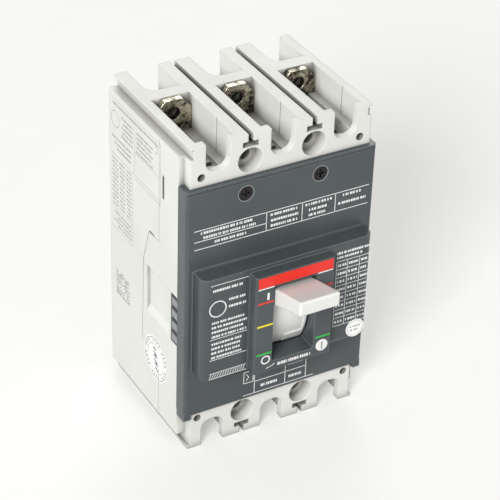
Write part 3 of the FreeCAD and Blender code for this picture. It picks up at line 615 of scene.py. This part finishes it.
scale_lines = (
    ("panel_red_print", red_ink, "badge_red", [(-15.3, -8.9, 67.4, 68.1), (11.0, 15.5, 67.4, 68.1)]),
    ("panel_yellow_print", yellow_ink, "sticker_white", [(-15.3, -8.9, 57.4, 58.1)]),
    ("panel_green_print", green_ink, "sticker_white", [(-15.3, -8.9, 44.9, 45.5), (9.5, 15.8, 44.9, 45.5)]))
for name, material, slot_name, bars in scale_lines:
    scale_line = Film(name, material, "case", slot_name)
    for bar in bars:
        scale_line.bar(*bar)
    scale_line.lay(front_plane(PANEL_Y))

# %% [markdown]
# A moulded bead runs round the top and sides of the nose where it leaves the cover.  It is a thin rounded
# cord of the same plastic, so a curve with a round bevel makes it, a little more than half sunk into the
# cover.

# %% Bead at the foot of the nose
BEAD_RADIUS = 0.45 * MM
BEAD_SINK = 0.1 * MM


def cord_mesh(name, points, radius, resolution, material):
    """Return a round cord along a list of points, as a smooth mesh."""
    curve = bpy.data.curves.new(name, "CURVE")
    curve.dimensions = "3D"
    curve.bevel_depth = radius
    curve.bevel_resolution = resolution
    spline = curve.splines.new("POLY")
    spline.points.add(len(points) - 1)
    for spot, place in zip(spline.points, points):
        spot.co = (*place, 1.0)
    holder = bpy.data.objects.new(name, curve)
    mesh = bpy.data.meshes.new_from_object(holder)
    bpy.data.objects.remove(holder)
    mesh.polygons.foreach_set("use_smooth", [True] * len(mesh.polygons))
    mesh.materials.clear()
    mesh.materials.append(material)
    return mesh


bead_path = [(-35.4, 37.5), (-35.4, 80.4), (-34.8, 81.1), (34.8, 81.1), (35.4, 80.4), (35.4, 37.5)]
bead_points = [(x * MM, COVER_Y + BEAD_SINK, z * MM) for x, z in bead_path]
bead_mesh = cord_mesh("nose_bead_curve", bead_points, BEAD_RADIUS, 3, cover_slate)
bead = bpy.data.objects.new("nose_bead", bead_mesh)
bpy.context.scene.collection.objects.link(bead)
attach(bead, "case")
print("bead has", len(bead.data.polygons), "faces")

# %% [markdown]
# The spring behind the push button gets shorter as the button goes in.  Here a coil of the same size,
# built as a round cord along a helix, takes the place of the rigid CAD solid.

# %% Spring behind the push button
WIRE = 0.3 * MM
TURNS, STEPS_PER_TURN = 7, 20


def coil_points(radius, start, end):
    """Return points on a helix along Y between two places."""
    steps = TURNS * STEPS_PER_TURN
    points = []
    for k in range(steps + 1):
        angle = 2 * math.pi * TURNS * k / steps
        spot = start.lerp(end, k / steps)
        points.append((spot.x + radius * math.cos(angle), spot.y, spot.z + radius * math.sin(angle)))
    return points


coil_low, coil_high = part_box("button_spring")
coil_mid = (coil_low + coil_high) / 2
coil_start = Vector((coil_mid.x, coil_low.y + WIRE, coil_mid.z))
coil_end = Vector((coil_mid.x, coil_high.y - WIRE, coil_mid.z))
coil_line = coil_points((coil_high.x - coil_low.x) / 2 - WIRE, coil_start, coil_end)
coil = cord_mesh("push_spring", coil_line, WIRE, 2, spring_steel)
push_spring = bpy.data.objects.new("push_spring", coil)
bpy.context.scene.collection.objects.link(push_spring)
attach(push_spring, "case")
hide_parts("button_spring")
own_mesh(push_spring)

# %% [markdown]
# The wings beside the panel hold a data block on the left and a grid on the right.

# %% Wing prints
WING_LINE = 0.22
HATCH_PITCH = 1.05
GRID_TOP, GRID_PITCH = 72.6, 3.6
left_wing = Film("left_wing_print", white_ink, "case", "sticker_white")
for z in (77.9, 54.6, 45.5):
    left_wing.line((-31.9, z), (-16.8, z), 0.24)
left_wing.arc((-28.9, 67.6), 3.5, 0.45)
left_wing.dashes(-31.0, -18.6, 75.6, 1.0, 31)
left_wing.dashes(-24.5, -18.0, 70.4, 1.0, 32)
left_wing.dashes(-24.5, -17.6, 67.4, 1.0, 33)
for k in range(4):
    left_wing.dashes(-31.2, -18.0 + (k % 2), 61.8 - 2.0 * k, 0.9, 40 + k)
for k in range(4):
    left_wing.dashes(-31.2, -19.0, 52.6 - 2.0 * k, 0.9, 50 + k)
for k in range(14):
    left_wing.line((-31.9 + HATCH_PITCH * k, 37.3), (-31.0 + HATCH_PITCH * k, 39.3), WING_LINE)
for z in (39.5, 37.1):
    left_wing.line((-31.9, z), (-16.8, z), WING_LINE)
left_wing.lay(front_plane(NOSE_Y))

right_wing = Film("right_wing_print", white_ink, "case", "sticker_white")
for k in range(9):
    z = GRID_TOP - GRID_PITCH * k
    right_wing.line((19.8, z), (34.0, z), WING_LINE)
for x in (19.8, 24.4, 29.6, 34.0):
    right_wing.line((x, 72.7), (x, 43.7), WING_LINE)
for k in range(8):
    for column, (x0, x1) in enumerate(((20.4, 23.9), (25.0, 29.0), (30.2, 33.4))):
        right_wing.dashes(x0, x1, 70.8 - GRID_PITCH * k, 1.0, 60 + 3 * k + column)
right_wing.dashes(19.8, 33.8, 76.2, 1.0, 91)
right_wing.dashes(19.8, 30.8, 74.3, 0.9, 92)
right_wing.lay(front_plane(NOSE_Y))

# %% [markdown]
# The left side of the case is printed in dark grey with a long data table, a round mark and a square code
# patch.  The ring stays empty, and the patch is a seeded random square pattern that encodes nothing.

# %% Side print
SIDE_LINE = 0.16
PATCH_CELLS, PATCH_PITCH, PATCH_SQUARE = 14, 0.8, 0.62
side_print = Film("side_table_print", grey_ink, "case", "black_screw")
for start, end in (((17.9, 122.6), (57.8, 122.6)), ((17.9, 98.0), (17.9, 122.6)),
                   ((38.5, 100.0), (38.5, 119.4)), ((17.9, 99.6), (57.8, 99.6)),
                   ((17.9, 98.0), (38.0, 98.0)), ((40.4, 67.8), (40.4, 99.6)),
                   ((40.4, 76.8), (57.8, 76.8)), ((40.4, 67.8), (57.8, 67.8)),
                   ((17.9, 109.0), (38.5, 109.0))):
    side_print.line(start, end, SIDE_LINE)
side_print.arc((54.0, 114.6), 3.4, 0.28)
side_print.arc((21.4, 118.6), 1.3, 0.25, 40, 320)
side_print.dashes(20.0, 56.5, 120.9, 1.0, 200)
for k in range(5):
    side_print.dashes(40.0, 49.0 - k % 2, 117.6 - 1.9 * k, 0.9, 210 + k)
    side_print.dashes(24.0 + k % 2, 37.0, 117.6 - 1.9 * k, 0.8, 220 + k)
for k in range(3):
    side_print.dashes(41.5, 56.8 - 2 * k, 107.0 - 2.1 * k, 0.9, 230 + k)
for k in range(12):
    for column, (y0, y1) in enumerate(((41.4, 45.4), (46.6, 50.8), (52.0, 56.8))):
        side_print.dashes(y0, y1, 97.8 - 1.75 * k, 0.75, 240 + 3 * k + column)
for k in range(4):
    side_print.dashes(41.6, 56.0 - 3 * (k % 2), 75.0 - 1.8 * k, 0.8, 290 + k)
rng = random.Random(7)
for row in range(PATCH_CELLS):
    for column in range(PATCH_CELLS):
        if row == 0 or column == PATCH_CELLS - 1 or rng.random() < 0.5:
            y = 43.4 + PATCH_PITCH * column
            z = 38.6 + PATCH_PITCH * row
            side_print.bar(y, y + PATCH_SQUARE, z, z + PATCH_SQUARE)
side_print.lay(left_side)

# %% [markdown]
# Dirt in the seams.  The base and the middle moulding meet flush, and on the real one the joint shows as a
# hair line of dust.  The same thin film draws it on both sides, with painted shadow in the gaps round the
# cover's four small teeth and beside the cover, a painted shadow bar higher up, and a painted highlight on
# the teeth's faces.

# %% Seam lines and teeth on the sides
SEAM = 0.14
TOOTH_LOW, TOOTH_PITCH, TOOTH_COUNT = 45.9, 5.2, 4
for side_name, plane in (("left", left_side), ("right", right_side)):
    seam = Film("seam_dust_" + side_name, seam_dirt, "case", "black_screw")
    outline = [(19.0, 5.2), (19.0, 26.0), (32.5, 33.0), (31.5, 68.0), (27.0, 82.0), (19.0, 82.4),
               (19.0, 124.6)]
    for start, end in zip(outline, outline[1:]):
        seam.line(start, end, SEAM)
    seam.line((23.0, 82.45), (26.4, 82.45), 0.5)
    seam.lay(plane)
    # Painted highlight: the teeth's faces in a lighter slate.  Painted shadow: black bars in the gaps round
    # the teeth, in the gap beside the cover and on a bar higher up.
    teeth = Film("tooth_shine_" + side_name, painted_highlight_slate, "case", "cover_slate")
    gaps = Film("tooth_shadow_" + side_name, black_print_and_shade, "case", "black_screw")
    for k in range(TOOTH_COUNT):
        z = TOOTH_LOW + TOOTH_PITCH * k
        teeth.bar(4.6, 8.6, z + 0.7, z + 3.5)
        gaps.bar(3.6, 9.2, z + 3.7, z + 4.2)
        gaps.bar(8.8, 9.2, z, z + 3.7)
    gaps.bar(15.2, 16.1, 102.2, 111.3)
    for z0, z1 in ((17.4, 45.3), (66.7, 113.5)):
        gaps.bar(4.3, 4.62, z0, z1)
    teeth.lay(plane)
    gaps.lay(plane)

# %% [markdown]
# Two more fine lines on the cover.  A shallow groove runs across it above the two cover screws and is
# darkened with a painted shadow line, and each screw sits in a counterbore whose rim gets a painted
# highlight ring.

# %% Groove and screw seats
GROOVE_Z, GROOVE_WIDTH = 112.5, 0.3
SCREW_SEATS = ((-15.0, 107.7), (15.0, 107.7))
# Painted shadow: a black line along the groove.
groove = Film("cover_groove_shadow", black_print_and_shade, "case", "black_screw")
groove.bar(-37.6, 37.6, GROOVE_Z - GROOVE_WIDTH / 2, GROOVE_Z + GROOVE_WIDTH / 2)
groove.lay(front_plane(COVER_Y))
# Painted highlight: a lighter ring on each screw seat's rim.
rims = Film("screw_seat_shine", painted_highlight_slate, "case", "cover_slate")
for seat in SCREW_SEATS:
    rims.arc(seat, 3.25, 0.3)
rims.lay(front_plane(COVER_Y))

# %% [markdown]
# Two round stickers.  The large one on the side has a ring of small marks round a bold centre mark, and
# the small one on the wing has a ring and a few dashes.  The centre mark is six thick strokes in a slanted
# row, which reads as bold type from a distance and spells nothing.

# %% Sticker prints
RING_MARKS, RING_INNER, RING_OUTER, RING_LEAN = 30, 7.2, 8.3, 0.05
STROKES, STROKE_PITCH, STROKE_REACH, STROKE_WIDTH = 6, 1.7, 1.3, 0.75
sticker_mid = (sticker_low + sticker_high) / 2
quality = Film("quality_sticker_print", black_print_and_shade, "case", "sticker_white")
cy, cz = sticker_mid.y / MM - BLOCK_Y, sticker_mid.z / MM
quality.arc((cy, cz), 8.9, 0.25)
for k in range(RING_MARKS):
    inner = math.radians(360.0 / RING_MARKS * k)
    outer = inner + RING_LEAN
    if k % 5:
        quality.line((cy + RING_INNER * math.cos(inner), cz + RING_INNER * math.sin(inner)),
                     (cy + RING_OUTER * math.cos(outer), cz + RING_OUTER * math.sin(outer)), 0.45)
quality.arc((cy, cz), 6.4, 0.2)
tilt = math.radians(-78)
along = (math.cos(tilt), math.sin(tilt))
across = (-along[1], along[0])
for k in range(STROKES):
    shift = -4.2 + STROKE_PITCH * k
    middle_y, middle_z = cy - along[0] * shift, cz + along[1] * shift
    lean = 0.5 if k % 2 else -0.4
    quality.line((middle_y - across[0] * STROKE_REACH + along[0] * lean,
                  middle_z - across[1] * STROKE_REACH + along[1] * lean),
                 (middle_y + across[0] * STROKE_REACH, middle_z + across[1] * STROKE_REACH), STROKE_WIDTH)
quality.lay(left_side)

wing_mid = (wing_low + wing_high) / 2
wing_mark = Film("wing_sticker_print", grey_ink, "case", "sticker_white")
wx, wz = wing_mid.x / MM, wing_mid.z / MM
wing_mark.arc((wx, wz), 3.4, 0.18)
wing_mark.dashes(wx - 2.2, wx + 2.2, wz + 0.8, 0.7, 301)
wing_mark.dashes(wx - 2.0, wx + 2.0, wz - 0.8, 0.7, 302)
wing_mark.lay(front_plane(wing_low.y))
